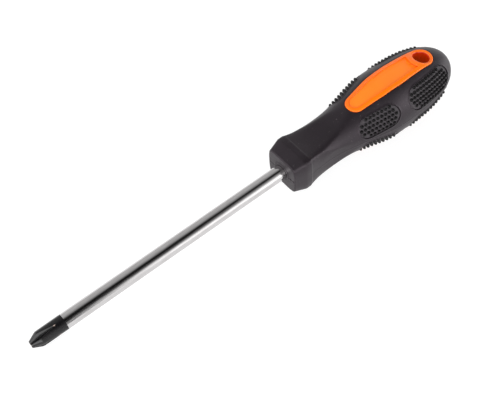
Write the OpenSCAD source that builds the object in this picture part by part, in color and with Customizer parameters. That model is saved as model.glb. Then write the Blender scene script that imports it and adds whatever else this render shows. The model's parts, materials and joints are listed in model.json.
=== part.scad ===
// Cross-tip screwdriver with a two-material handle, lying on its side with the tip down.
// The tool is drawn along X (tip at -X, collar face at x = 0, butt at +X, windows facing +Z and -Z),
// then tilted and shifted by lay_down() until it rests on the plane z = 0.

/* [Blade] */
// Visible length of the blade, from the collar face to the point
blade_l = 148.3; // [75:0.1:200]
// Diameter of the blade
blade_d = 8; // [5:0.5:9]
// Length of the black-coated zone at the point
coated_l = 18; // [16:0.5:30]
// Diameter of the blunt end of the cross point
point_d = 3.4; // [2.5:0.1:3.8]
// Diameter of the coated zone where its cone starts; it narrows a little from the bar to there
coated_d = 7.9; // [7:0.05:8]
// Half angle of the cone at the point
point_angle = 26.5; // [24:0.5:30]
// Length of each flute, measured along the blade
flute_l = 13.5; // [11:0.5:16]
// Included angle of each flute
flute_angle = 92; // [80:1:95]
// Turn of the first flute from the upper window
flute_turn = 12; // [0:1:89]
// Length of the tang held inside the handle
tang_l = 83; // [62:1:86]
// Diameter of the tang, turned down a little so that the bar ends in a shoulder at the collar face
tang_d = 7.4; // [4:0.1:8.5]
// Width across the two wings pressed out of the tang
wing_w = 12; // [9:0.5:13]

/* [Handle] */
// Length of the handle
handle_l = 116.1; // [110:0.1:125]
// Largest diameter of the barrel
barrel_d = 37; // [34:0.5:40]
// Distance of the largest diameter from the collar face
barrel_x = 69.7; // [66:0.1:72]
// Diameter over the ridges of the neck
neck_d = 25.2; // [24:0.2:28]
// Distance of the thinnest place of the neck from the collar face
neck_x = 27; // [24:0.5:30]

/* [Collar] */
// Width across the two side flats at the front face
collar_w = 20.4; // [19:0.1:22]
// Height across the upper and lower flats at the front face
collar_h = 18.8; // [18:0.1:21]
// Diameter over the corners at the front face
collar_corner_d = 25.8; // [24:0.1:27]
// Diameter over the corners behind the flare
collar_d = 30.6; // [28:0.2:32]
// Length of the flare at the corners
flare_l = 7; // [4:0.5:7.5]
// Length of the collar
collar_l = 10; // [9:0.5:10]
// Outward slope of the flats
flat_slope = 15; // [8:0.5:16]

/* [Neck scoops] */
// Height between the upper and lower scoops where they are deepest
scoop_h = 19.8; // [19:0.1:22]
// Radius of the upper and lower scoops along the handle
scoop_r = 52; // [45:1:60]
// Width between the two side scoops where they are deepest
side_scoop_w = 21.8; // [19:0.1:23]
// Radius of the side scoops along the handle
side_scoop_r = 77; // [60:1:90]
// Distance of the deepest place of all four from the collar face
scoop_x = 21; // [18:0.5:22]

/* [Windows] */
// Front end of each orange window
window_x0 = 44.3; // [42:0.1:46]
// Largest width of each window
window_w = 14.9; // [13:0.1:16]
// Height of the window rim over the grip
rim_h = 0.3; // [0.1:0.1:0.5]
// Width of the rim round the sunk panel
rim_w = 1.9; // [1.5:0.1:2.5]
// Depth of the flat panel under the crown of the window
panel_sink = 1.2; // [1:0.1:1.6]

/* [Hanging hole] */
// Diameter of the hole
hole_d = 8.5; // [7:0.1:9]
// Distance of the hole from the collar face
hole_x = 96.4; // [95:0.1:97]
// Radius of the rounded lip
lip_r = 2.1; // [1.5:0.1:2.2]

/* [Nub pads] */
// Angle between a window and the pads beside it
pad_angle = 60; // [58:1:61]
// Distance of the middle of the front pads from the collar face
front_pad_x = 54.4; // [53.5:0.1:55]
// Length of each front pad
front_pad_l = 24; // [20:0.5:25]
// Width of each front pad
front_pad_w = 12.2; // [10:0.1:12.4]
// Distance of the middle of the rear pads from the collar face
rear_pad_x = 89.7; // [88:0.1:90.5]
// Length of each rear pad
rear_pad_l = 32; // [26:0.5:33]
// Width of each rear pad
rear_pad_w = 13.8; // [11:0.1:14]
// Depth of the pocket that each pad sits in
pocket_h = 0.6; // [0.4:0.1:1]
// Height of the nub tips over the grip
nub_h = 0.9; // [0.5:0.1:1.2]

/* [Hidden] */
$fn = 96;
blade_r = blade_d / 2;
point_r = point_d / 2;
barrel_r = barrel_d / 2;
neck_r = neck_d / 2;
hole_r = hole_d / 2;
coated_r = coated_d / 2;
cone_l = (coated_r - point_r) / tan(point_angle);
// Flutes leave a cross whose root is this share of the blunt end.
root_share = 0.55;
root_r = point_r * root_share;
flute_slope = atan((coated_r - root_r) / flute_l);
// The collar's bore clears the bar, which ends in a shoulder at the face.
mouth_r = blade_r + 0.05;
mouth_l = 3;
wing_h = 3.4;
wing_x = [40, 60];
front_pad = [front_pad_x, front_pad_l, front_pad_w];
rear_pad = [rear_pad_x, rear_pad_l, rear_pad_w];

// The orange core under the grip.
core_x0 = 4;
core_neck_r = 7.5;
core_neck_x = 34;
core_barrel_r = 14.5;
core_barrel_x = [61, 87];
core_end_x = 108;
core_end_r = 5;

// Four circles give the outline of a window: narrow in front, widest at the barrel, round at the hole.
window_front_r = 5.4;
window_wide_x = 63;
window_wide_r = 7.1;
window_rear_r = hole_r + lip_r;
window_mid_x = 75;
// Height at which the lip of the hole meets the rear end of a window, as a share of the barrel radius.
lip_share = 0.875;

// Ridge outline of the handle: collar, cosine down to the neck, cosine up to the barrel, rounded butt.
neck_steps = 8;
neck_power = 0.6;
rise_steps = 12;
butt_steps = 14;
rise_power = 1.2;
butt_power = 2.6;
butt_root = 0.45;
function wave(t) = (1 - cos(180 * t)) / 2;
function neck_radius(t) = collar_d / 2 - (collar_d / 2 - neck_r) * wave(pow(t, neck_power));
function rise_radius(t) = neck_r + (barrel_r - neck_r) * wave(pow(t, rise_power));
function butt_radius(t) = barrel_r * pow(1 - pow(t, butt_power), butt_root);
function along(a, b, t) = a + (b - a) * t;
function butt_share(i) = sin(90 * i / butt_steps);
function butt_point(t) = [along(barrel_x, handle_l, t), t == 1 ? 0 : butt_radius(t)];
barrel_line = [
    for (i = [1 : rise_steps]) [along(neck_x, barrel_x, i / rise_steps), rise_radius(i / rise_steps)],
    for (i = [1 : butt_steps]) butt_point(butt_share(i))
];
ridge_line = concat(
    [[0, collar_corner_d / 2], [flare_l, collar_d / 2]],
    [for (i = [0 : neck_steps]) [along(collar_l, neck_x, i / neck_steps), neck_radius(i / neck_steps)]],
    barrel_line
);

// The tool lies on the rim edges of the lower window and on the blade where its cone starts.
touch_x = -blade_l + cone_l;
rim_y = window_w / 2 - rim_w;
rest_slopes = [
    for (p = barrel_line)
        if (p.x > window_x0 && p.x < hole_x)
            (sqrt(pow(p.y + rim_h, 2) - pow(rim_y, 2)) - coated_r) / (p.x - touch_x)
];
tilt = atan(max(rest_slopes));
rest_h = coated_r * cos(tilt) - touch_x * sin(tilt);
point_end = -blade_l * cos(tilt) - point_r * sin(tilt);
butt_end = max([for (p = barrel_line) p.x * cos(tilt) + p.y * sin(tilt)]);
mid_x = (point_end + butt_end) / 2;
far = 60;

module lay_down() {
    translate([-mid_x, 0, rest_h]) rotate([0, -tilt, 0]) children();
}

// Turns a solid drawn along Z to lie along X.
module along_x() {
    rotate([0, 90, 0]) children();
}

// Solid of revolution about X from an outline of [distance, radius] points, grown outward by extra.
module revolve(line, extra = 0) {
    ends = [[line[len(line) - 1].x, 0], [line[0].x, 0]];
    along_x() rotate_extrude() polygon([for (p = concat(line, ends)) [p.y == 0 ? 0 : p.y + extra, p.x]]);
}

// Repeats a cut on two opposite sides of the tool, the first one turned from the top.
module both_sides(first = 0) {
    for (turn = [first, first + 180]) rotate([turn, 0, 0]) children();
}

// Slab over one collar flat, sloping outward from the front face to the rear edge of the collar.
module flat_cut(gap) {
    intersection() {
        translate([0, 0, gap / 2])
            rotate([0, -flat_slope, 0])
                translate([-far, -far, 0])
                    cube(far * 2);
        translate([-far, -far, 0]) cube([far + collar_l, far * 2, far * 2]);
    }
}

// Scoop behind the collar: a wide cylinder lying across the handle.
module scoop_cut(gap, radius) {
    intersection() {
        translate([scoop_x, far, gap / 2 + radius])
            rotate([90, 0, 0])
                cylinder(h = far * 2, r = radius, $fn = 180);
        translate([collar_l, -far, 0]) cube([far * 2, far * 2, far]);
    }
}

module handle_form() {
    difference() {
        revolve(ridge_line);
        both_sides() flat_cut(collar_h);
        both_sides(90) flat_cut(collar_w);
        both_sides() scoop_cut(scoop_h, scoop_r);
        both_sides(90) scoop_cut(side_scoop_w, side_scoop_r);
    }
}

module window_outline(inset = 0) {
    hull() {
        translate([window_x0 + window_front_r, 0]) circle(r = window_front_r - inset, $fn = 48);
        translate([window_wide_x, 0]) circle(r = window_wide_r - inset, $fn = 48);
        translate([window_mid_x, 0]) circle(r = window_w / 2 - inset, $fn = 48);
        translate([hole_x, 0]) circle(r = window_rear_r - inset, $fn = 48);
    }
}

// Both orange windows and the block between them that carries the hanging hole.
module window_block() {
    intersection() {
        revolve(barrel_line, rim_h);
        translate([0, 0, -far]) linear_extrude(far * 2) window_outline();
    }
}

// Space over the flat panel of the upper window, stopping at the ring round the hole.
module panel_cut() {
    side_line = [for (p = barrel_line) [p.x, p.y - panel_sink]];
    side_view = concat(side_line, [[barrel_line[0].x, 0]]);
    difference() {
        linear_extrude(far) window_outline(rim_w);
        rotate([90, 0, 0]) translate([0, 0, -far]) linear_extrude(far * 2) polygon(side_view);
        translate([hole_x, 0, 0]) cylinder(h = far, r = window_rear_r + rim_w);
    }
}

// Through hole with a rounded lip at both windows.
module hole_cut() {
    lip_z = barrel_r * lip_share;
    cylinder(h = far * 2, r = hole_r, center = true);
    both_sides() rotate_extrude() difference() {
        translate([0, lip_z - lip_r]) square([hole_r + lip_r, far]);
        translate([hole_r + lip_r, lip_z - lip_r]) circle(r = lip_r, $fn = 48);
    }
}

module core_body() {
    revolve([
        [core_x0, core_neck_r], [core_neck_x, core_neck_r], [core_barrel_x[0], core_barrel_r],
        [core_barrel_x[1], core_barrel_r], [core_end_x, core_end_r]
    ]);
}

// The full bar, from the edge of the coating to its shoulder at the collar face.
module bar_form() {
    bar_l = blade_l - coated_l;
    translate([-bar_l, 0, 0]) along_x() cylinder(h = bar_l, r = blade_r);
}

// Mouth of the collar round the tang.
module mouth_cut() {
    translate([-mouth_l, 0, 0]) along_x() cylinder(h = mouth_l * 2, r = mouth_r);
}

// Tang: the thinner end of the bar with two flat wings that stop it turning in the core.
module tang_form() {
    along_x() cylinder(h = tang_l, r = tang_d / 2);
    translate([wing_x[0], -wing_w / 2, -wing_h / 2]) cube([wing_x[1] - wing_x[0], wing_w, wing_h]);
}

// One flute: a sharp groove whose root climbs from the point to the surface of the blade.
module flute_cut() {
    half = flute_angle / 2;
    reach = blade_r * 2;
    translate([-blade_l, 0, root_r])
        rotate([0, -flute_slope, 0])
            rotate([90, 0, 90])
                translate([0, 0, -reach])
                    linear_extrude(reach * 4)
                        polygon([[0, 0], [reach * tan(half), reach], [-reach * tan(half), reach]]);
}

// Oval plug through the handle's surface at one pad.
module pad_outline(pad, turn) {
    run = pad[1] - pad[2];
    rotate([turn, 0, 0]) translate([pad[0], 0, 0]) {
        translate([-run / 2, -pad[2] / 2, 0]) cube([run, pad[2], far]);
        for (end = [-1, 1]) translate([end * run / 2, 0, 0]) cylinder(h = far, r = pad[2] / 2);
    }
}

function pad_turn(i) = [pad_angle, 180 - pad_angle, 180 + pad_angle, -pad_angle][i - 1];

// The space of one pad: a curved plate from the floor of its pocket to the nub tips.
module pad_place(pad, i) {
    intersection() {
        pad_outline(pad, pad_turn(i));
        difference() {
            revolve(barrel_line, nub_h);
            revolve(barrel_line, -pocket_h);
        }
    }
}

module blade_shank() {
    color("#c9ccd1") lay_down() {
        bar_form();
        tang_form();
    }
}

module blade_tip() {
    color("#25262a") lay_down() difference() {
        revolve([[-blade_l, point_r], [-blade_l + cone_l, coated_r], [-blade_l + coated_l, blade_r]]);
        both_sides(flute_turn) flute_cut();
        both_sides(flute_turn + 90) flute_cut();
    }
}

module handle_core() {
    color("#f47a08") lay_down() difference() {
        union() {
            core_body();
            window_block();
        }
        both_sides() panel_cut();
        translate([hole_x, 0, 0]) hole_cut();
        tang_form();
    }
}

module grip() {
    color("#38343a") lay_down() difference() {
        handle_form();
        core_body();
        window_block();
        mouth_cut();
        tang_form();
        for (i = [1 : 4]) pad_place(front_pad, i);
        for (i = [1 : 4]) pad_place(rear_pad, i);
    }
}

module nub_pad_front(i) {
    color("#1d1b1f") lay_down() pad_place(front_pad, i);
}

module nub_pad_rear(i) {
    color("#1d1b1f") lay_down() pad_place(rear_pad, i);
}

blade_shank();
blade_tip();
handle_core();
grip();
nub_pad_front(1);  // nub_pad_front_1
nub_pad_front(2);  // nub_pad_front_2
nub_pad_front(3);  // nub_pad_front_3
nub_pad_front(4);  // nub_pad_front_4
nub_pad_rear(1);  // nub_pad_rear_1
nub_pad_rear(2);  // nub_pad_rear_2
nub_pad_rear(3);  // nub_pad_rear_3
nub_pad_rear(4);  // nub_pad_rear_4
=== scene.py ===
"""Cross-tip screwdriver on a pale table: chrome blade, black coated point, orange core, soft grip.

Shapes are worked out in millimetres in the tool's own frame: x along the blade towards the butt with
0 at the collar face, z out of the upper window, and angles round x counted from z towards -y. TOOL
carries them to the row frame.
"""

import json
import math

import bmesh
import bpy
from mathutils import Matrix, Vector, geometry


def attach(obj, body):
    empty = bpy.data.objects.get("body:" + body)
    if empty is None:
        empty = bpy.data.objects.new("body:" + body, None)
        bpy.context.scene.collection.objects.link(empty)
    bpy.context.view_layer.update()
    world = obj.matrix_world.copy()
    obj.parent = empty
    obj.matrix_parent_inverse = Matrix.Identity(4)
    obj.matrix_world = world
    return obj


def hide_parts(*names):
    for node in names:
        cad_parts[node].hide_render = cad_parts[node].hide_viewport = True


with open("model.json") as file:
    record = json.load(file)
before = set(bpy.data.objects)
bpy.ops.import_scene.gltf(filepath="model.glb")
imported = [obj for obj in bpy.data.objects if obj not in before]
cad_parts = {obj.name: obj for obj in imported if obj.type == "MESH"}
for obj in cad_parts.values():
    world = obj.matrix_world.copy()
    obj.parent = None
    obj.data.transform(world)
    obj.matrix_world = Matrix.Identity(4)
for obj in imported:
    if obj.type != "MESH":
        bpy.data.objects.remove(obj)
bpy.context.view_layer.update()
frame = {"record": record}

# --------------------------------------------------------------------------------------------------
# The tool's frame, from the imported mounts

MM = 0.001
mounts = {mount["name"]: mount for mount in frame["record"]["mounts"]}
AXIS = -Vector(mounts["blade"]["axis"]).normalized()
ACROSS = Vector((0, 1, 0))
UP = AXIS.cross(ACROSS)
COLLAR_CENTRE = Vector(mounts["collar_face"]["pos_m"]) * Vector((1, 0, 1))
TURNED = Matrix((AXIS, ACROSS, UP)).transposed().to_4x4()
TOOL = Matrix.Translation(COLLAR_CENTRE) @ TURNED @ Matrix.Scale(MM, 4)

# --------------------------------------------------------------------------------------------------
# Driving dimensions, in millimetres and degrees

BLADE_R = mounts["blade"]["dims"]["r_mm"]
BLADE_L = 148.3
COATED_L = 18.0
COATED_R = 3.95
POINT_R = 1.7
POINT_ANGLE = 26.5
FLUTE_L = 13.5
FLUTE_ANGLE = 92.0
FLUTE_ROOT = 0.935
FLUTE_TURN = 12.0
TANG_R = 3.7
TANG_L = 83.0

HANDLE_L = 116.1
BARREL_R = 18.5
BARREL_X = 69.7
NECK_R = 12.6
NECK_X = 27.0
COLLAR_FACE_R = 12.9
COLLAR_R = 15.3
FLARE_L = 7.0
COLLAR_L = 10.0
FLAT_SLOPE = math.tan(math.radians(15))
NECK_FALL = 0.6
BARREL_RISE = 1.2
BUTT_FULLNESS = 2.6
BUTT_ROUNDING = 0.45
SCOOP_X = 21.0
MOUTH_R = 4.05

# Upper and lower sides, then the two flanks: collar half width, scoop half width, scoop radius, and
# how far the scoop's edge is rounded next to the collar and past the neck.
TOP_SIDES = (9.4, 9.9, 52.0, 2.4, 1.2)
FLANKS = (10.2, 10.9, 77.0, 3.2, 0.4)
COLLAR_BLEND = 3.2
EDGE_CHANGE = (14.0, 27.0)
COLLAR_STEP = (COLLAR_L - 0.3, COLLAR_L + 0.9)

HOLE_R = mounts["hanging_hole"]["dims"]["r_mm"]
HOLE_X = (Vector(mounts["hanging_hole"]["pos_m"]) - COLLAR_CENTRE).dot(AXIS) / MM
LIP_R = 2.1
WINDOW_HALF_W = 7.45
WINDOW_CIRCLES = ((49.7, 5.4), (63.0, 7.1), (75.0, WINDOW_HALF_W), (HOLE_X, HOLE_R + LIP_R))
RIM_H = 0.3
RIM_W = 1.9
RING_R = HOLE_R + LIP_R + RIM_W
PANEL_STEP = 1.0
PANEL_STEP_FRONT = 0.35
PANEL_DEEPENS = (47.0, 63.0)

PAD_ANGLE = 60.0
FRONT_PAD = (54.4, 24.0, 12.2)
REAR_PAD = (89.7, 32.0, 13.8)
POCKET_DEPTH = 1.0
PAD_FLOOR = 0.5
NUB_TOP = 0.9

GRID = 0.55


# --------------------------------------------------------------------------------------------------
# Small maths


def wave(t):
    """Smooth climb from 0 to 1 along half a cosine."""
    return (1 - math.cos(math.pi * t)) / 2


def smooth_step(low, high, value):
    """0 at low, 1 at high, level beyond both, with a smooth change between. Low may be the larger."""
    t = min(max((value - low) / (high - low), 0.0), 1.0)
    return t * t * (3 - 2 * t)


def smooth_min(a, b, soft):
    """The smaller of a and b, with the crease between them rounded over a width of soft."""
    close = max(soft - abs(a - b), 0.0) / soft
    return min(a, b) - close * close * soft / 4


def mix(a, b, t):
    return a + (b - a) * t


def steps(start, end, size):
    """Evenly spaced values from start to end, both kept, about size apart."""
    count = max(int(round(abs(end - start) / size)), 1)
    return [mix(start, end, i / count) for i in range(count + 1)]


# --------------------------------------------------------------------------------------------------
# Shape of the handle


def ridge_radius(x):
    """Radius over the ridges: flared collar, neck, barrel, rounded butt."""
    if x < FLARE_L:
        return mix(COLLAR_FACE_R, COLLAR_R, x / FLARE_L)
    if x < COLLAR_L:
        return COLLAR_R
    if x < NECK_X:
        return mix(COLLAR_R, NECK_R, wave(((x - COLLAR_L) / (NECK_X - COLLAR_L)) ** NECK_FALL))
    if x < BARREL_X:
        return mix(NECK_R, BARREL_R, wave(((x - NECK_X) / (BARREL_X - NECK_X)) ** BARREL_RISE))
    share = min((x - BARREL_X) / (HANDLE_L - BARREL_X), 1.0)
    return BARREL_R * (1 - share**BUTT_FULLNESS) ** BUTT_ROUNDING


def section_radius(x, turn, collar):
    """Radius of the rounded-square section: the ridges cut by the collar flats, or by the neck scoops."""
    radius = ridge_radius(x)
    for slant, (collar_half, scoop_half, scoop_r, near_blend, far_blend) in (
        (abs(math.cos(turn)), TOP_SIDES),
        (abs(math.sin(turn)), FLANKS),
    ):
        if slant < 0.3:
            continue
        if collar:
            half = collar_half + min(x, FLARE_L) * FLAT_SLOPE
            radius = smooth_min(radius, half / slant, COLLAR_BLEND)
        else:
            half = scoop_half + scoop_r - math.sqrt(max(scoop_r**2 - (x - SCOOP_X) ** 2, 0.0))
            blend = mix(near_blend, far_blend, smooth_step(*EDGE_CHANGE, x))
            radius = smooth_min(radius, half / slant, blend)
    return radius


def skin_radius(x, turn):
    """Radius of the grip before its windows and pads are cut."""
    share = smooth_step(*COLLAR_STEP, x)
    if share == 0:
        return section_radius(x, turn, True)
    if share == 1:
        return section_radius(x, turn, False)
    return mix(section_radius(x, turn, True), section_radius(x, turn, False), share)


def on_tool(x, radius, turn):
    """The point at that distance along the tool, that far from its axis, turned from z towards -y."""
    return Vector((x, -radius * math.sin(turn), radius * math.cos(turn)))


# --------------------------------------------------------------------------------------------------
# Outlines


def capsule_distance(x, y, first, second):
    """Distance to the outline of two circles wrapped by a band; each is (place along x, radius)."""
    run = second[0] - first[0]
    lean = (first[1] - second[1]) / run
    side = math.sqrt(1 - lean * lean)
    along, across = x - first[0], abs(y)
    reach = along * side - across * lean
    if reach < 0:
        return math.hypot(along, across) - first[1]
    if reach > side * run:
        return math.hypot(along - run, across) - second[1]
    return across * side + along * lean - first[1]


def window_distance(x, y):
    """Distance outside the window's outline, in plan; negative inside."""
    return min(capsule_distance(x, y, *pair) for pair in zip(WINDOW_CIRCLES, WINDOW_CIRCLES[1:]))


def window_loop(grow, size):
    """Points round the window's outline, grown outward, about size apart."""
    corners = []
    count = 96
    for i in range(count):
        heading = 2 * math.pi * i / count
        place, radius = max(WINDOW_CIRCLES, key=lambda c: c[0] * math.cos(heading) + c[1])
        radius += grow
        corners.append((place + radius * math.cos(heading), radius * math.sin(heading)))
    loop = []
    for i, start in enumerate(corners):
        end = corners[(i + 1) % count]
        pieces = max(int(round(math.dist(start, end) / size)), 1)
        shares = [k / pieces for k in range(pieces)]
        loop += [(mix(start[0], end[0], t), mix(start[1], end[1], t)) for t in shares]
    return loop


def circle_loop(radius, count):
    """Points round the hanging hole, in plan."""
    turns = [2 * math.pi * i / count for i in range(count)]
    return [(HOLE_X + radius * math.cos(a), radius * math.sin(a)) for a in turns]


def pad_distance(pad, along, across):
    """Distance outside a pad's oval, in the pad's own plane."""
    run = (pad[1] - pad[2]) / 2
    return math.hypot(max(abs(along) - run, 0.0), across) - pad[2] / 2


def pad_loop(pad, grow, size):
    """Points round a pad's oval, grown outward: two half circles and two straights."""
    run = (pad[1] - pad[2]) / 2
    radius = pad[2] / 2 + grow
    bend = max(int(math.pi * radius / size), 12)
    straight = steps(-run, run, size)[1:-1]
    half_circle = [
        (run + radius * math.sin(math.pi * i / bend), radius * math.cos(math.pi * i / bend))
        for i in range(bend + 1)
    ]
    loop = half_circle + [(-x, -radius) for x in straight]
    loop += [(-x, -y) for x, y in half_circle]
    return loop + [(x, radius) for x in straight]


PADS = [
    (f"nub_pad_{row}_{i + 1}", pad, math.radians(turn))
    for row, pad in (("front", FRONT_PAD), ("rear", REAR_PAD))
    for i, turn in enumerate((PAD_ANGLE, 180 - PAD_ANGLE, 180 + PAD_ANGLE, 360 - PAD_ANGLE))
]


# --------------------------------------------------------------------------------------------------
# Meshes


def triangulate(points, loops):
    """Triangles over flat points, with every loop's edges kept.

    Returns the places, the triangles, and the place that each input point became.
    """
    flat = [Vector(p) for p in points]
    edges = []
    for loop in loops:
        first = len(flat)
        flat += [Vector(p) for p in loop]
        edges += [(first + i, first + (i + 1) % len(loop)) for i in range(len(loop))]
    places, _, faces, origins, _, _ = geometry.delaunay_2d_cdt(flat, edges, [], 0, 1e-6, True)
    output_of = {source: i for i, sources in enumerate(origins) for source in sources}
    return places, faces, output_of


def finish_mesh(name, points, faces, sharp=38.0, weld=0.0):
    """A closed mesh in the tool's frame: outward faces, smooth except at edges sharper than that angle."""
    mesh = bpy.data.meshes.new(name)
    mesh.from_pydata(points, [], faces)
    work = bmesh.new()
    work.from_mesh(mesh)
    if weld:
        bmesh.ops.remove_doubles(work, verts=work.verts, dist=weld)
    loose = [v for v in work.verts if not v.link_faces]
    bmesh.ops.delete(work, geom=loose, context="VERTS")
    bmesh.ops.recalc_face_normals(work, faces=work.faces)
    work.to_mesh(mesh)
    work.free()
    mesh.shade_smooth()
    mesh.set_sharp_from_angle(angle=math.radians(sharp))
    return mesh


def mark(mesh, name, value_at):
    """Stores a number at each point of a mesh, for its finish to read."""
    attribute = mesh.attributes.new(name, "FLOAT", "POINT")
    attribute.data.foreach_set("value", [value_at(*vertex.co) for vertex in mesh.vertices])
    return mesh


def place_piece(name, mesh, material, slot, *nodes):
    """Puts a finished mesh on the tool as a piece that stands for the named CAD nodes."""
    mesh.transform(TOOL)
    mesh.name = name
    mesh.materials.clear()
    mesh.materials.append(material)
    piece = bpy.data.objects.new(name, mesh)
    bpy.context.scene.collection.objects.link(piece)
    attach(piece, "root")
    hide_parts(*nodes)
    return piece


def fan(points, faces, rim, centre):
    """Closes a ring of point numbers with triangles to a new point."""
    points.append(centre)
    hub = len(points) - 1
    faces += [(rim[i], rim[(i + 1) % len(rim)], hub) for i in range(len(rim))]


# --------------------------------------------------------------------------------------------------
# Grip

EDGE_R = 1.0
EDGE_S = EDGE_R * math.pi / 2
FACE_S = 6.0
BORE_S = 8.0
DOME_X = 107.5
DOME_S = (HANDLE_L - DOME_X) * math.pi / 2
SKIN_START = -(EDGE_S + FACE_S + BORE_S)
SKIN_END = DOME_X + DOME_S * 0.97
SEAM_TURN = math.pi / 2

# Rises and dips of the skin, the places of the face's dimples, a place short of the windows, and how
# far round from its middle a pad is looked for.
FACE_RING_H = 0.3
FACE_GROOVE = 0.12
DIMPLE_DEPTH = 1.1
DIMPLE_PLACES = (6.6, 9.3)
WINDOW_GAP = 0.35
PAD_LIP = 0.14
PARTING_LINE = 0.07
WINDOWS_X = 41.0
PAD_SPAN = math.radians(35)


def face_relief(radius, turn):
    """How far the collar's face stands out: ring round the blade, parting line, two dimples."""
    ring = FACE_RING_H * (1 - smooth_step(BLADE_R + 1.0, BLADE_R + 2.2, radius))
    off_line = abs(math.cos(turn)) * radius
    groove = FACE_GROOVE * (1 - smooth_step(0.1, 0.4, off_line))
    dimples = 0.0
    for place in DIMPLE_PLACES:
        off = math.hypot(off_line, radius * math.sin(turn) - place)
        dimples += DIMPLE_DEPTH * (1 - smooth_step(0.3, 0.8, off))
    return ring - groove - dimples


def skin_point(s, turn):
    """Point of the grip's skin. s runs out of the bore, over the face and edge, then along the handle."""
    if s >= 0:
        x = mix(EDGE_R, 2.0, s / 2) if s < 2 else s
        if s > DOME_X:
            x = mix(DOME_X, HANDLE_L, math.sin((s - DOME_X) / DOME_S * math.pi / 2))
        radius = skin_radius(x, turn) + surface_relief(x, turn)
        return on_tool(x, radius, turn)
    corner = skin_radius(EDGE_R, turn)
    if s > -EDGE_S:
        bend = -s / EDGE_R
        return on_tool(EDGE_R - EDGE_R * math.sin(bend), corner - EDGE_R + EDGE_R * math.cos(bend), turn)
    if s > -EDGE_S - FACE_S:
        share = (-s - EDGE_S) / FACE_S
        radius = mix(corner - EDGE_R, MOUTH_R, share)
        return on_tool(-face_relief(radius, turn) * (1 - share**12), radius, turn)
    return on_tool(-s - EDGE_S - FACE_S, MOUTH_R, turn)


def surface_relief(x, turn):
    """Rises and dips of the skin: lips round the windows and pads, pad pockets, parting line."""
    radius = ridge_radius(x)
    relief = 0.0
    if WINDOWS_X < x < DOME_X:
        off_window = window_distance(x, radius * math.sin(turn))
        relief -= WINDOW_GAP * (1 - smooth_step(0.0, 0.45, max(off_window, 0.0)))
    for _, pad, centre in PADS:
        swing = math.remainder(turn - centre, 2 * math.pi)
        if abs(swing) < PAD_SPAN and abs(x - pad[0]) < pad[1] / 2 + 1.5:
            off = pad_distance(pad, x - pad[0], radius * math.sin(swing))
            relief += PAD_LIP * smooth_step(0.75, 0.3, off) * smooth_step(-0.05, 0.1, off)
            relief -= POCKET_DEPTH * smooth_step(0.12, -0.32, off)
    off_line = abs(math.cos(turn)) * radius
    if x > COLLAR_L:
        relief += PARTING_LINE * (1 - smooth_step(0.05, 0.28, off_line))
    return relief


def to_sheet(x, turn):
    """Where a point of the handle lies on the flat sheet that is triangulated, cut at the parting line."""
    return (x, (turn - SEAM_TURN) % (2 * math.pi) * BARREL_R)


def grip_rows():
    """Places along s: close together at the collar's edges, evenly spaced elsewhere."""
    rows = steps(SKIN_START, -EDGE_S - FACE_S, 1.0)
    rows += steps(-EDGE_S - FACE_S, -EDGE_S, 0.22)[1:]
    rows += steps(-EDGE_S, 0, 0.16)[1:]
    rows += steps(0, COLLAR_L - 0.4, GRID)[1:]
    rows += steps(COLLAR_L - 0.4, COLLAR_L + 1.0, 0.1)[1:]
    return rows + steps(COLLAR_L + 1.0, SKIN_END, GRID)[1:]


def grip_mesh():
    window_grows = (0.0, 0.08, 0.18, 0.3, 0.48)
    pad_grows = (0.75, 0.5, 0.3, 0.12, 0.0, -0.12, -0.22, -0.34)
    loops = []
    for grow in window_grows:
        plan = window_loop(grow, 0.45)
        loops.append([to_sheet(x, -math.asin(y / ridge_radius(x))) for x, y in plan])
        loops.append([to_sheet(x, math.pi + math.asin(y / ridge_radius(x))) for x, y in plan])
    for _, pad, centre in PADS:
        for grow in pad_grows:
            plan = [(x + pad[0], y) for x, y in pad_loop(pad, grow, 0.5)]
            loops.append([to_sheet(x, centre + math.asin(y / ridge_radius(x))) for x, y in plan])

    sheet_w = 2 * math.pi * BARREL_R
    columns = int(sheet_w / GRID)
    fine = [side * offset for side in (-1, 1) for offset in (0.12, 0.3)]
    parting = [off % sheet_w for off in fine] + [sheet_w / 2 + off for off in (*fine, 0.0)]
    parting.sort()
    rows = grip_rows()
    points = []
    for number, s in enumerate(rows):
        shift = 0.5 * (number % 2)
        across = [(i + shift) * sheet_w / columns for i in range(1, columns)]
        across = [a for a in across if all(abs(a - p) > 0.2 for p in parting)]
        points += [(s, a) for a in [0.0, *across, *parting, sheet_w] if keep_grid_point(s, a)]

    places, faces, output_of = triangulate(points, loops)
    turns = [p.y / BARREL_R + SEAM_TURN for p in places]
    faces = [f for f in faces if not in_window(places, turns, f)]
    solid = [skin_point(p.x, t) for p, t in zip(places, turns)]

    first = len(points)
    count = len(loops[0])
    upper = [output_of[first + i] for i in range(count)]
    lower = [output_of[first + count + i] for i in range(count)]
    faces = [tuple(f) for f in faces]
    faces += [(upper[i], upper[(i + 1) % count], lower[(i + 1) % count], lower[i]) for i in range(count)]

    for end_s, end_x in ((SKIN_START, BORE_S), (SKIN_END, HANDLE_L)):
        rim = sorted((i for i, p in enumerate(places) if abs(p.x - end_s) < 1e-4), key=lambda i: places[i].y)
        fan(solid, faces, rim[:-1], Vector((end_x, 0, 0)))
    return finish_mesh("grip", solid, faces, sharp=60, weld=1e-4)


def keep_grid_point(s, across):
    """Leaves room on the grid for the rings of points round the windows and pads."""
    if not WINDOWS_X < s < DOME_X:
        return True
    turn = across / BARREL_R + SEAM_TURN
    radius = ridge_radius(s)
    if window_distance(s, radius * math.sin(turn)) < 0.75:
        return False
    for _, pad, centre in PADS:
        swing = math.remainder(turn - centre, 2 * math.pi)
        off = pad_distance(pad, s - pad[0], radius * math.sin(swing))
        if abs(swing) < PAD_SPAN and -0.6 < off < 1.0:
            return False
    return True


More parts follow.
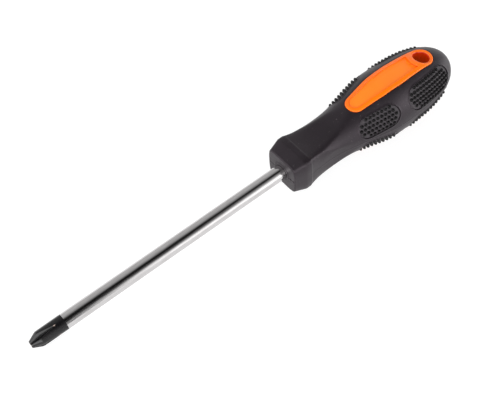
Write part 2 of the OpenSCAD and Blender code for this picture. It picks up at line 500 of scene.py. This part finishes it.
def in_window(places, turns, face):
    x = sum(places[i].x for i in face) / 3
    turn = sum(turns[i] for i in face) / 3
    return WINDOWS_X < x < DOME_X and window_distance(x, ridge_radius(x) * math.sin(turn)) < -1e-4


# --------------------------------------------------------------------------------------------------
# Orange core: both windows, the block between them and the hanging hole

CORE_EDGE_R = 0.4


def crown_height(x, y):
    return math.sqrt(max((ridge_radius(x) + RIM_H) ** 2 - y * y, 0.0))


def panel_half(x):
    """Half width of the sunk panel at that place."""
    low, high = 0.0, WINDOW_HALF_W
    for _ in range(24):
        middle = (low + high) / 2
        low, high = (middle, high) if window_distance(x, middle) < -RIM_W else (low, middle)
    return low


def window_height(x, y, half):
    """Height of the upper window over the tool's axis: rim, step, flat panel, ring and lip of the hole."""
    inset = max(-window_distance(x, y), 0.0)
    off_hole = math.hypot(x - HOLE_X, y)
    height = crown_height(x, y)
    if inset < CORE_EDGE_R:
        height -= CORE_EDGE_R - math.sqrt(CORE_EDGE_R**2 - (CORE_EDGE_R - inset) ** 2)
    inside_panel = min(inset - RIM_W, off_hole - RING_R)
    if inside_panel > 0 and x < HOLE_X:
        step = mix(PANEL_STEP_FRONT, PANEL_STEP, smooth_step(*PANEL_DEEPENS, x))
        panel = crown_height(x, half) - step
        height = mix(height, panel, smooth_step(0, 0.5, inside_panel))
    if off_hole < HOLE_R + LIP_R:
        reach = HOLE_R + LIP_R - off_hole
        height -= LIP_R - math.sqrt(max(LIP_R**2 - reach**2, 0.0))
    return height


def core_zone(x, y, _):
    """Part of the core that a point is on: 0 the rim, 0.5 the sunk panel, 1 the inside of the hole."""
    off_hole = math.hypot(x - HOLE_X, y)
    if off_hole < HOLE_R + 1.2:
        return smooth_step(HOLE_R + 1.2, HOLE_R + 0.2, off_hole)
    if x > HOLE_X:
        return 0.0
    inside_panel = min(-window_distance(x, y) - RIM_W, off_hole - RING_R)
    return 0.5 * smooth_step(-0.25, 0.75, inside_panel)


def core_mesh():
    loops = [window_loop(grow, 0.45) for grow in (0.0, -0.05, -0.14, -0.27, -0.42)]
    loops += [circle_loop(HOLE_R + off, 96) for off in (0.0, 0.04, 0.13, 0.3, 0.55, 0.9, 1.35, 1.9)]
    edge_offs = (0.0, 0.15, 0.3, 0.45, 0.62)
    points = []
    for off in edge_offs:
        ring = circle_loop(RING_R + off, 150)
        points += [p for p in ring if p[0] < HOLE_X and -window_distance(*p) > RIM_W + off]
        rim = window_loop(-RIM_W - off, 0.4)
        points += [p for p in rim if p[0] < HOLE_X and math.dist(p, (HOLE_X, 0)) > RING_R + off]
    low, high = WINDOW_CIRCLES[0][0] - 8, HOLE_X + 8
    for number, x in enumerate(steps(low, high, 0.5)):
        shift = 0.25 * (number % 2)
        for y in steps(-8, 8, 0.5):
            inset = -window_distance(x, y + shift)
            off_hole = math.hypot(x - HOLE_X, y + shift)
            inside_panel = min(inset - RIM_W, off_hole - RING_R)
            on_step = x < HOLE_X and -0.2 < inside_panel < 0.8
            if inset > 0.6 and off_hole > HOLE_R + 2.1 and not on_step:
                points.append((x, y + shift))

    places, faces, _ = triangulate(points, loops)
    halves = {}
    solid = []
    for place in places:
        key = round(place.x, 2)
        if key not in halves:
            halves[key] = panel_half(place.x)
        solid.append(Vector((place.x, place.y, window_height(place.x, place.y, halves[key]))))
    kept = []
    for face in faces:
        x = sum(places[i].x for i in face) / 3
        y = sum(places[i].y for i in face) / 3
        if window_distance(x, y) < 0 and math.hypot(x - HOLE_X, y) > HOLE_R * 0.9995:
            kept.append(tuple(face))

    edges = {}
    for face in kept:
        for i in range(3):
            edge = (face[i], face[(i + 1) % 3])
            edges[edge] = edges.get(edge, 0) + 1
    border = [edge for edge in edges if (edge[1], edge[0]) not in edges]
    count = len(solid)
    solid += [Vector((p.x, p.y, -p.z)) for p in solid]
    kept += [tuple(i + count for i in reversed(face)) for face in kept]
    kept += [(b, a, a + count, b + count) for a, b in border]
    # The zone number carries the orange finish's painted shade and painted highlight.
    return mark(finish_mesh("handle_core", solid, kept, sharp=50), "zone", core_zone)


# --------------------------------------------------------------------------------------------------
# Nub pads: a curved plate in each pocket, with rows of nubs grown on it by Geometry Nodes


def pad_plate(name, pad, centre):
    """The plate under the nubs, a little smaller than its pocket."""
    gap = 0.2
    loops = [pad_loop(pad, -gap - inset, 0.6) for inset in (0.0, 0.25)]
    points = []
    for number, along in enumerate(steps(-pad[1] / 2, pad[1] / 2, 0.7)):
        for across in steps(-pad[2] / 2, pad[2] / 2, 0.7):
            place = (along, across + 0.35 * (number % 2))
            if pad_distance(pad, *place) < -gap - 0.6:
                points.append(place)
    places, faces, _ = triangulate(points, loops)
    faces = [tuple(f) for f in faces]
    count = len(places)
    solid = []
    for depth in (PAD_FLOOR, POCKET_DEPTH - 0.02):
        for place in places:
            radius = ridge_radius(place.x + pad[0])
            swing = math.asin(place.y / radius)
            solid.append(on_tool(place.x + pad[0], radius - depth, centre + swing))
    edges = {(f[i], f[(i + 1) % 3]) for f in faces for i in range(3)}
    border = [edge for edge in edges if (edge[1], edge[0]) not in edges]
    faces += [tuple(i + count for i in reversed(f)) for f in faces]
    faces += [(b, a, a + count, b + count) for a, b in sorted(border)]
    return finish_mesh(name, solid, faces, sharp=50)


def add_node(tree, kind, inputs=None, **settings):
    """Adds a node. Inputs are given by name or number, as values or as sockets to link."""
    node = tree.nodes.new(kind)
    for key, value in settings.items():
        setattr(node, key, value)
    for key, value in (inputs or {}).items():
        if isinstance(value, bpy.types.NodeSocket):
            tree.links.new(value, node.inputs[key])
        else:
            node.inputs[key].default_value = value
    return node


def work_out(tree, operation, first, second=0.0):
    """Result of one Math node."""
    return add_node(tree, "ShaderNodeMath", {0: first, 1: second}, operation=operation).outputs[0]


def nub_tree():
    """Geometry Nodes tree: staggered rows of round-nosed nubs inside an oval, dropped on to the plate."""
    tree = bpy.data.node_groups.new("rows_of_nubs", "GeometryNodeTree")
    face = tree.interface
    face.new_socket("Plate", in_out="INPUT", socket_type="NodeSocketGeometry")
    pad_labels = ("Centre", "Length", "Width", "Turn")
    nub_labels = ("Pitch", "Row gap", "Edge gap", "Nub height", "Nub radius")
    for label in (*pad_labels, *nub_labels):
        face.new_socket(label, in_out="INPUT", socket_type="NodeSocketFloat")
    face.new_socket("Seed", in_out="INPUT", socket_type="NodeSocketInt")
    face.new_socket("Material", in_out="INPUT", socket_type="NodeSocketMaterial")
    face.new_socket("Pad", in_out="OUTPUT", socket_type="NodeSocketGeometry")
    given = add_node(tree, "NodeGroupInput").outputs

    def maths(operation, first, second=0.0):
        return work_out(tree, operation, first, second)

    # Seats on a flat grid, every second row moved by half a pitch.
    margin = maths("MULTIPLY", given["Edge gap"], 2.0)
    along_count = maths("FLOOR", maths("DIVIDE", maths("SUBTRACT", given["Length"], margin), given["Pitch"]))
    row_count = maths("FLOOR", maths("DIVIDE", maths("SUBTRACT", given["Width"], margin), given["Row gap"]))
    grid_l = maths("MULTIPLY", along_count, given["Pitch"])
    grid_w = maths("MULTIPLY", row_count, given["Row gap"])
    grid = add_node(
        tree,
        "GeometryNodeMeshGrid",
        {
            "Size X": grid_l,
            "Size Y": grid_w,
            "Vertices X": maths("ADD", along_count, 1.0),
            "Vertices Y": maths("ADD", row_count, 1.0),
        },
    )
    place = add_node(tree, "GeometryNodeInputPosition").outputs[0]
    apart = add_node(tree, "ShaderNodeSeparateXYZ", {0: place}).outputs
    from_edge = maths("ADD", apart["Y"], maths("MULTIPLY", grid_w, 0.5))
    row = maths("ROUND", maths("DIVIDE", from_edge, given["Row gap"]))
    odd = maths("MODULO", row, 2.0)
    stagger = maths("MULTIPLY", maths("SUBTRACT", odd, 0.5), maths("MULTIPLY", given["Pitch"], 0.5))
    moved = add_node(tree, "ShaderNodeCombineXYZ", {0: stagger, 1: 0.0, 2: 0.0}).outputs[0]
    seats = add_node(tree, "GeometryNodeSetPosition", {"Geometry": grid.outputs["Mesh"], "Offset": moved})

    # Seats too near the oval's edge go.
    run = maths("MULTIPLY", maths("SUBTRACT", given["Length"], given["Width"]), 0.5)
    past_run = maths("MAXIMUM", maths("SUBTRACT", maths("ABSOLUTE", apart["X"]), run), 0.0)
    reach = maths("SQRT", maths("ADD", maths("POWER", past_run, 2.0), maths("POWER", apart["Y"], 2.0)))
    limit = maths("SUBTRACT", maths("MULTIPLY", given["Width"], 0.5), given["Edge gap"])
    outside = maths("GREATER_THAN", reach, limit)
    kept = add_node(
        tree,
        "GeometryNodeDeleteGeometry",
        {"Geometry": seats.outputs[0], "Selection": outside},
        domain="POINT",
    )

    # The seats are held over the pad, then dropped towards the tool's axis on to the plate.
    over = add_node(tree, "ShaderNodeCombineXYZ", {0: 0.0, 1: 0.0, 2: BARREL_R * 2}).outputs[0]
    raised = add_node(tree, "GeometryNodeSetPosition", {"Geometry": kept.outputs[0], "Offset": over})
    turn = add_node(tree, "ShaderNodeCombineXYZ", {0: given["Turn"], 1: 0.0, 2: 0.0}).outputs[0]
    centre = add_node(tree, "ShaderNodeCombineXYZ", {0: given["Centre"], 1: 0.0, 2: 0.0}).outputs[0]
    held = add_node(
        tree,
        "GeometryNodeTransform",
        {"Geometry": raised.outputs[0], "Translation": centre, "Rotation": turn},
    )
    down = add_node(
        tree,
        "ShaderNodeVectorRotate",
        {"Vector": (0.0, 0.0, -1.0), "Angle": given["Turn"]},
        rotation_type="X_AXIS",
    ).outputs[0]
    drop = add_node(
        tree,
        "GeometryNodeRaycast",
        {"Target Geometry": given["Plate"], "Ray Direction": down, "Ray Length": BARREL_R * 3},
    ).outputs
    landed = add_node(
        tree,
        "GeometryNodeSetPosition",
        {"Geometry": held.outputs[0], "Position": drop["Hit Position"]},
    )
    upward = add_node(
        tree, "FunctionNodeAlignRotationToVector", {"Vector": turned_about(tree, down)}, axis="Z"
    ).outputs[0]

    # One nub: a cone whose sides are bellied out to a round nose.
    cone = add_node(
        tree,
        "GeometryNodeMeshCone",
        {
            "Vertices": 10,
            "Side Segments": 4,
            "Radius Top": 0.0,
            "Radius Bottom": given["Nub radius"],
            "Depth": given["Nub height"],
        },
        fill_type="TRIANGLE_FAN",
    )
    height = maths("DIVIDE", apart["Z"], given["Nub height"])
    belly = maths("POWER", maths("MAXIMUM", maths("SUBTRACT", 1.0, maths("POWER", height, 1.9)), 0.0), 0.62)
    straight = maths("MAXIMUM", maths("SUBTRACT", 1.0, height), 0.001)
    swell = maths("DIVIDE", belly, straight)
    wide = add_node(tree, "ShaderNodeCombineXYZ", {0: swell, 1: swell, 2: 1.0}).outputs[0]
    shaped = add_node(tree, "ShaderNodeVectorMath", {0: place, 1: wide}, operation="MULTIPLY").outputs[0]
    nub = add_node(tree, "GeometryNodeSetPosition", {"Geometry": cone.outputs["Mesh"], "Position": shaped})
    smooth = add_node(tree, "GeometryNodeSetShadeSmooth", {"Geometry": nub.outputs[0], "Shade Smooth": True})

    nosed = add_node(
        tree,
        "GeometryNodeStoreNamedAttribute",
        {"Geometry": smooth.outputs[0], "Name": "nose", "Value": height},
        data_type="FLOAT",
        domain="POINT",
    )

    size = add_node(
        tree,
        "FunctionNodeRandomValue",
        {"Min": 0.95, "Max": 1.05, "Seed": given["Seed"]},
        data_type="FLOAT",
    )
    values = [socket for socket in size.outputs if socket.enabled]
    rows = add_node(
        tree,
        "GeometryNodeInstanceOnPoints",
        {
            "Points": landed.outputs[0],
            "Instance": nosed.outputs[0],
            "Rotation": upward,
            "Scale": values[0],
        },
    )
    joined = add_node(tree, "GeometryNodeJoinGeometry")
    tree.links.new(rows.outputs[0], joined.inputs[0])
    tree.links.new(given["Plate"], joined.inputs[0])
    real = add_node(tree, "GeometryNodeRealizeInstances", {"Geometry": joined.outputs[0]})
    coated = add_node(
        tree, "GeometryNodeSetMaterial", {"Geometry": real.outputs[0], "Material": given["Material"]}
    )
    result = add_node(tree, "NodeGroupOutput")
    tree.links.new(coated.outputs[0], result.inputs[0])
    return tree


def turned_about(tree, vector):
    """The same vector pointing the other way."""
    return add_node(tree, "ShaderNodeVectorMath", {0: vector, "Scale": -1.0}, operation="SCALE").outputs[0]


def grow_nubs(plate, tree, settings):
    """Runs the nub tree on a plate and returns the result as a plain mesh."""
    worker = bpy.data.objects.new("nub_worker", plate)
    bpy.context.scene.collection.objects.link(worker)
    modifier = worker.modifiers.new("nubs", "NODES")
    modifier.node_group = tree
    for socket in tree.interface.items_tree:
        if socket.in_out == "INPUT" and socket.name in settings:
            modifier[socket.identifier] = settings[socket.name]
    seen = worker.evaluated_get(bpy.context.evaluated_depsgraph_get())
    mesh = bpy.data.meshes.new_from_object(seen)
    worker.modifiers.clear()
    bpy.data.objects.remove(worker)
    return mesh


# --------------------------------------------------------------------------------------------------
# Blade


def lathe(name, outline, count, sharp=38.0):
    """Solid of revolution round the tool's axis from (x, radius) points, closed at both ends."""
    turns = [2 * math.pi * i / count for i in range(count)]
    solid = [on_tool(x, radius, turn) for x, radius in outline for turn in turns]
    faces = []
    for row in range(len(outline) - 1):
        for i in range(count):
            a, b = row * count + i, row * count + (i + 1) % count
            faces.append((a, b, b + count, a + count))
    fan(solid, faces, list(range(count)), Vector((outline[0][0], 0, 0)))
    last = (len(outline) - 1) * count
    fan(solid, faces, list(range(last, last + count)), Vector((outline[-1][0], 0, 0)))
    return finish_mesh(name, solid, faces, sharp=sharp)


def shank_mesh():
    outline = [(-BLADE_L + COATED_L, BLADE_R)]
    outline += [(x, BLADE_R) for x in steps(-BLADE_L + COATED_L, 0, 4.0)[1:]]
    outline += [(0.01, TANG_R), (TANG_L - 0.6, TANG_R), (TANG_L, TANG_R - 0.6)]
    return lathe("blade_shank", outline, 192)


def point_radius(x, turn):
    """Radius of the coated point: bar, cone and blunt end, with four flutes that run out rounded."""
    cone = POINT_R + (x + BLADE_L) * math.tan(math.radians(POINT_ANGLE))
    taper = mix(COATED_R, BLADE_R, max(x + BLADE_L - 4.5, 0.0) / (COATED_L - 4.5))
    body = smooth_min(cone, taper, 0.35)
    root = FLUTE_ROOT + (x + BLADE_L) * (COATED_R - FLUTE_ROOT) / FLUTE_L
    if root >= BLADE_R + 1:
        return body
    off = (turn - math.radians(FLUTE_TURN) + math.pi / 4) % (math.pi / 2) - math.pi / 4
    wall = math.tan(math.radians(FLUTE_ANGLE / 2))
    opening = wall * math.cos(off) - abs(math.sin(off))
    if opening <= 0.02:
        return body
    groove = root * wall / opening
    return smooth_min(body, groove, 0.3)


def wear_at(x, y, z):
    """How far the coating is rubbed: fully at the end of each flute and round the blunt end."""
    turn = math.atan2(-y, z)
    off = math.remainder(turn - math.radians(FLUTE_TURN), math.pi / 2) * BLADE_R
    run_out = 1 - math.hypot((x + BLADE_L - FLUTE_L + 0.4) / 1.5, off / 0.75)
    blunt = 0.5 - (x + BLADE_L) / 1.2
    return max(run_out, blunt, 0.0)


def tip_mesh():
    count = 288
    turns = [2 * math.pi * i / count for i in range(count)]
    start = -BLADE_L
    places = steps(start, start + 17.0, 0.12) + steps(start + 17.0, start + COATED_L, 0.5)[1:]
    solid = []
    for x in places:
        for turn in turns:
            solid.append(on_tool(x, point_radius(x, turn), turn))
    faces = []
    for row in range(len(places) - 1):
        for i in range(count):
            a, b = row * count + i, row * count + (i + 1) % count
            faces.append((a, b, b + count, a + count))
    fan(solid, faces, list(range(count)), Vector((start, 0, 0)))
    last = (len(places) - 1) * count
    fan(solid, faces, list(range(last, last + count)), Vector((places[-1], 0, 0)))
    return mark(finish_mesh("blade_tip", solid, faces, sharp=35), "wear", wear_at)


# --------------------------------------------------------------------------------------------------
# Finishes


def new_finish(name):
    """An empty node material.

    Returns it with its tree, its shader and places in millimetres, turned to run along the tool.
    """
    material = bpy.data.materials.new(name)
    material.use_nodes = True
    tree = material.node_tree
    tree.nodes.clear()
    shader = add_node(tree, "ShaderNodeBsdfPrincipled")
    result = add_node(tree, "ShaderNodeOutputMaterial")
    tree.links.new(shader.outputs[0], result.inputs["Surface"])
    coordinates = add_node(tree, "ShaderNodeTexCoord").outputs["Object"]
    tilt = math.atan2(AXIS.z, AXIS.x)
    straight = add_node(
        tree,
        "ShaderNodeMapping",
        {"Vector": coordinates, "Rotation": (0.0, tilt, 0.0), "Scale": (1 / MM, 1 / MM, 1 / MM)},
    )
    return material, tree, shader, straight.outputs[0]


def marked(tree, name):
    """The number that mark, or the nub tree, stored on the mesh."""
    return add_node(tree, "ShaderNodeAttribute", attribute_name=name).outputs["Fac"]


def grain(tree, vector, size, detail=2.0, stretch=(1.0, 1.0, 1.0)):
    """Noise with features about size millimetres across."""
    scaled = add_node(tree, "ShaderNodeMapping", {"Vector": vector, "Scale": stretch}).outputs[0]
    noise = add_node(tree, "ShaderNodeTexNoise", {"Vector": scaled, "Scale": 1.0 / size, "Detail": detail})
    return noise.outputs["Fac"]


def ramp(tree, factor, *stops):
    """Colour ramp from (place, colour) stops."""
    node = add_node(tree, "ShaderNodeValToRGB", {"Fac": factor})
    band = node.color_ramp
    while len(band.elements) < len(stops):
        band.elements.new(0.5)
    for element, (place, colour) in zip(band.elements, stops):
        element.position = place
        element.color = (*colour, 1.0)
    return node.outputs["Color"]


def blend_colours(tree, factor, first, second):
    """First colour where the factor is 0, second where it is 1."""
    inputs = {"Factor": factor, "A": first, "B": second}
    return add_node(tree, "ShaderNodeMix", inputs, data_type="RGBA").outputs["Result"]


def spread(tree, factor, low, high, to_low, to_high):
    """A number carried from one range to another, held at its ends."""
    node = add_node(
        tree,
        "ShaderNodeMapRange",
        {"Value": factor, "From Min": low, "From Max": high, "To Min": to_low, "To Max": to_high},
    )
    return node.outputs[0]


def bump(tree, shader, height, distance, strength=1.0):
    sizes = {"Height": height, "Distance": distance * MM, "Strength": strength}
    tree.links.new(add_node(tree, "ShaderNodeBump", sizes).outputs[0], shader.inputs["Normal"])


def soft_grip_finish():
    """Matt soft plastic: spark-eroded grain, faint blotches, a few specks of dust."""
    material, tree, shader, place = new_finish("soft_grip_black")
    blotch = grain(tree, place, 9.0, 4.0)
    base = ramp(tree, blotch, (0.3, (0.0058, 0.0040, 0.0055)), (0.7, (0.0098, 0.0070, 0.0094)))
    speck = grain(tree, place, 0.55, 1.0)
    dust = spread(tree, speck, 0.74, 0.8, 0.0, 0.5)
    tree.links.new(blend_colours(tree, dust, base, (0.26, 0.24, 0.24, 1.0)), shader.inputs["Base Color"])
    fine = grain(tree, place, 0.16, 3.0)
    tree.links.new(spread(tree, fine, 0.3, 0.7, 0.38, 0.5), shader.inputs["Roughness"])
    shader.inputs["Specular IOR Level"].default_value = 0.42
    shader.inputs["Specular Tint"].default_value = (1.0, 0.88, 0.97, 1.0)
    bump(tree, shader, fine, 0.05, 0.55)
    return material


def nub_finish():
    """The same plastic, matt on the plate and turning darker and glossier towards each nose. The plate is
    painted much lighter than the grip, a painted light in the gaps between the nubs.
    """
    material, tree, shader, place = new_finish("nub_black")
    nose = marked(tree, "nose")
    # Plate painted lighter than the grip as painted light between the nubs; near black towards each nose.
    base = ramp(
        tree,
        nose,
        (0.0, (0.050, 0.044, 0.049)),
        (0.24, (0.032, 0.028, 0.031)),
        (0.42, (0.0015, 0.0013, 0.0015)),
    )
    tree.links.new(base, shader.inputs["Base Color"])
    tree.links.new(spread(tree, nose, 0.1, 0.6, 0.5, 0.3), shader.inputs["Roughness"])
    shader.inputs["Specular IOR Level"].default_value = 0.17
    bump(tree, shader, grain(tree, place, 0.12, 2.0), 0.02, 0.4)
    return material


def orange_finish():
    """Satin moulded plastic with painted shade: darker along the panel's step and dark red in the hole. The
    panel is painted lighter as a painted highlight, and a faint glow is painted over the whole core.
    """
    material, tree, shader, place = new_finish("orange_core")
    zone = marked(tree, "zone")
    cloud = spread(tree, grain(tree, place, 14.0, 2.0), 0.3, 0.7, -0.02, 0.02)
    tone = work_out(tree, "ADD", zone, cloud)
    # Ramp by zone: rim orange, painted shade where the rim steps down to the panel, the panel painted
    # lighter as a painted highlight, dark red painted shade inside the hole.
    base = ramp(
        tree,
        tone,
        (0.0, (0.93, 0.158, 0.0006)),
        (0.1, (0.91, 0.150, 0.0006)),
        (0.24, (0.60, 0.072, 0.0004)),
        (0.42, (1.0, 0.205, 0.0060)),
        (0.5, (1.0, 0.225, 0.0095)),
        (0.62, (0.92, 0.150, 0.0006)),
        (1.0, (0.42, 0.008, 0.0001)),
    )
    tree.links.new(base, shader.inputs["Base Color"])
    fine = grain(tree, place, 0.25, 3.0)
    tree.links.new(spread(tree, fine, 0.3, 0.7, 0.30, 0.40), shader.inputs["Roughness"])
    shader.inputs["Specular IOR Level"].default_value = 0.34
    # Painted glow: a faint orange emission on a part that is no lamp.
    shader.inputs["Emission Color"].default_value = (1.0, 0.13, 0.0, 1.0)
    shader.inputs["Emission Strength"].default_value = 0.09
    bump(tree, shader, fine, 0.02, 0.3)
    return material


def chrome_finish():
    """Bright plate with fine drawing lines along the bar and a scatter of short scratches."""
    material, tree, shader, place = new_finish("bright_chrome")
    shader.inputs["Metallic"].default_value = 1.0
    lines = grain(tree, place, 0.35, 3.0, (0.05, 1.0, 1.0))
    patches = grain(tree, place, 1.6, 3.0, (0.3, 1.0, 1.0))
    base = ramp(tree, patches, (0.3, (0.545, 0.53, 0.53)), (0.7, (0.62, 0.608, 0.61)))
    tree.links.new(base, shader.inputs["Base Color"])
    tree.links.new(spread(tree, lines, 0.3, 0.7, 0.07, 0.17), shader.inputs["Roughness"])
    both = work_out(tree, "ADD", lines, work_out(tree, "MULTIPLY", patches, 1.5))
    bump(tree, shader, both, 0.012, 0.6)
    return material


def coating_finish():
    """Black phosphate on steel, rubbed bare where the flutes run out and on the blunt end."""
    material, tree, shader, place = new_finish("black_phosphate")
    mottle = grain(tree, place, 0.9, 4.0)
    base = ramp(tree, mottle, (0.35, (0.0030, 0.0028, 0.0033)), (0.7, (0.0085, 0.0078, 0.0088)))
    ragged = spread(tree, grain(tree, place, 0.35, 2.0), 0.3, 0.7, -0.3, 0.3)
    wear = work_out(tree, "ADD", marked(tree, "wear"), ragged)
    bare = spread(tree, wear, 0.5, 0.72, 0.0, 1.0)
    metal = (0.42, 0.33, 0.29, 1.0)
    tree.links.new(blend_colours(tree, bare, base, metal), shader.inputs["Base Color"])
    fine = grain(tree, place, 0.2, 3.0)
    tree.links.new(spread(tree, fine, 0.3, 0.7, 0.17, 0.27), shader.inputs["Roughness"])
    shader.inputs["Specular IOR Level"].default_value = 0.38
    bump(tree, shader, fine, 0.02, 0.4)
    return material


# --------------------------------------------------------------------------------------------------
# Table, light and camera


def make_table():
    half = 3.0
    mesh = bpy.data.meshes.new("table_top")
    corners = [(-half, -half, 0), (half, -half, 0), (half, half, 0), (-half, half, 0)]
    mesh.from_pydata(corners, [], [(0, 1, 2, 3)])
    table = bpy.data.objects.new("table_top", mesh)
    bpy.context.scene.collection.objects.link(table)
    material = bpy.data.materials.new("white_paper")
    material.use_nodes = True
    shader = material.node_tree.nodes["Principled BSDF"]
    shader.inputs["Base Color"].default_value = (0.3, 0.3, 0.3, 1)
    shader.inputs["Roughness"].default_value = 0.9
    shader.inputs["Specular IOR Level"].default_value = 0.1
    shader.inputs["Emission Color"].default_value = (1, 1, 1, 1)
    shader.inputs["Emission Strength"].default_value = 0.82
    mesh.materials.append(material)


# Brightness of the light against its angle from straight up: (degrees, brightness), negative on the
# tool's far side.
FAR_WALL = ((-90, 0.70), (-53, 0.66), (-29, 0.54), (-12, 0.32), (-2, 0.08), (6, 0.03))
NEAR_WALL = ((26, 0.03), (42, 0.16), (52, 0.5), (62, 1.1), (73, 1.75), (95, 1.9))
LOW_WALL = ((14, 0.0), (36, 0.42), (60, 0.55), (95, 0.0))
DARK_WITHIN = 10


def light_wall(tree, lean, stops):
    """Brightness from the stops: dark soon past the one nearest the top, level past the other end."""
    if stops[0][0] > 0:
        stops = ((stops[0][0] - DARK_WITHIN, 0.0), *stops)
    else:
        stops = (*stops, (stops[-1][0] + DARK_WITHIN, 0.0))
    place = spread(tree, lean, -180, 180, 0, 1)
    colours = [((angle + 180) / 360, (level / 2,) * 3) for angle, level in stops]
    return work_out(tree, "MULTIPLY", ramp(tree, place, *colours), 2.0)


def make_sky():
    """Soft light from both sides of the tool with a dark gap over it, and more from beyond the point.

    The near side's is weakest about square to the tool and strongest towards the butt.
    """
    world = bpy.data.worlds.new("studio")
    bpy.context.scene.world = world
    world.use_nodes = True
    tree = world.node_tree
    tree.nodes.clear()
    heading = add_node(tree, "ShaderNodeTexCoord").outputs["Generated"]
    turned = []
    for axis in (-ACROSS, UP, AXIS):
        dot = add_node(tree, "ShaderNodeVectorMath", {0: heading, 1: axis}, operation="DOT_PRODUCT")
        turned.append(dot.outputs["Value"])
    near_side, rise, butt_end = turned
    lean = work_out(tree, "MULTIPLY", work_out(tree, "ARCTAN2", near_side, rise), 180 / math.pi)
    far_wall = light_wall(tree, lean, FAR_WALL)
    near_wall = light_wall(tree, lean, NEAR_WALL)
    fade = spread(tree, butt_end, 0.1, 0.22, 0.1, 0.95)
    for low, high, to_low, to_high in ((0.36, 0.48, 0.0, 1.2), (-0.06, 0.05, 1.6, 0.0)):
        fade = work_out(tree, "ADD", fade, spread(tree, butt_end, low, high, to_low, to_high))
    far_lift = spread(tree, butt_end, 0.4, 0.55, 1.0, 1.4)
    far_wall = work_out(tree, "MULTIPLY", far_wall, far_lift)
    sides = work_out(tree, "ADD", far_wall, work_out(tree, "MULTIPLY", near_wall, fade))
    low_wall = light_wall(tree, lean, LOW_WALL)
    low_fade = spread(tree, butt_end, 0.25, 0.42, 0.0, 1.0)
    low_fade = work_out(tree, "ADD", low_fade, spread(tree, butt_end, -0.06, 0.05, 1.2, 0.0))
    sides = work_out(tree, "ADD", sides, work_out(tree, "MULTIPLY", low_wall, low_fade))
    level = work_out(tree, "ADD", sides, spread(tree, butt_end, -0.5, -0.1, 1.4, 0.0))
    glow = add_node(tree, "ShaderNodeBackground", {"Color": (1.0, 1.0, 1.0, 1.0), "Strength": level})
    result = add_node(tree, "ShaderNodeOutputWorld")
    tree.links.new(glow.outputs[0], result.inputs["Surface"])


CAMERA_TARGET = TOOL @ Vector((-20.76, 0.47, -7.08))
CAMERA_DISTANCE = 0.454
CAMERA_AZIMUTH = math.radians(-38.88)
CAMERA_ELEVATION = math.radians(52.55)
CAMERA_ROLL = math.radians(-0.12)


def make_camera():
    camera = bpy.data.cameras.new("camera")
    camera.lens = 64.8
    camera.sensor_width = 36.0
    camera.clip_start, camera.clip_end = 0.01, 20.0
    holder = bpy.data.objects.new("camera", camera)
    bpy.context.scene.collection.objects.link(holder)
    back = Vector(
        (
            math.sin(CAMERA_AZIMUTH) * math.cos(CAMERA_ELEVATION),
            -math.cos(CAMERA_AZIMUTH) * math.cos(CAMERA_ELEVATION),
            math.sin(CAMERA_ELEVATION),
        )
    )
    look = (-back).to_track_quat("-Z", "Y").to_matrix().to_4x4()
    stand = Matrix.Translation(CAMERA_TARGET + back * CAMERA_DISTANCE)
    holder.matrix_world = stand @ look @ Matrix.Rotation(CAMERA_ROLL, 4, "Z")
    bpy.context.scene.camera = holder


# --------------------------------------------------------------------------------------------------
# Assembly

make_camera()
make_table()
make_sky()
bpy.context.scene.view_settings.view_transform = "Standard"

soft_black = soft_grip_finish()
nub_black = nub_finish()

place_piece("grip_cover", grip_mesh(), soft_black, "soft_grip", "grip")
place_piece("orange_core", core_mesh(), orange_finish(), "orange_plastic", "handle_core")
place_piece("chrome_blade", shank_mesh(), chrome_finish(), "chrome", "blade_shank")
place_piece("black_point", tip_mesh(), coating_finish(), "black_coating", "blade_tip")

nubs = nub_tree()
for number, (node, pad, centre) in enumerate(PADS):
    plate = pad_plate(node + "_plate", pad, centre)
    settings = {
        "Centre": pad[0],
        "Length": pad[1],
        "Width": pad[2],
        "Turn": centre,
        "Pitch": 2.3,
        "Row gap": 2.35,
        "Edge gap": 0.75,
        "Nub height": PAD_FLOOR + NUB_TOP,
        "Nub radius": 0.94,
        "Seed": number,
        "Material": nub_black,
    }
    place_piece(node + "_nubs", grow_nubs(plate, nubs, settings), nub_black, "nub_rubber", node)
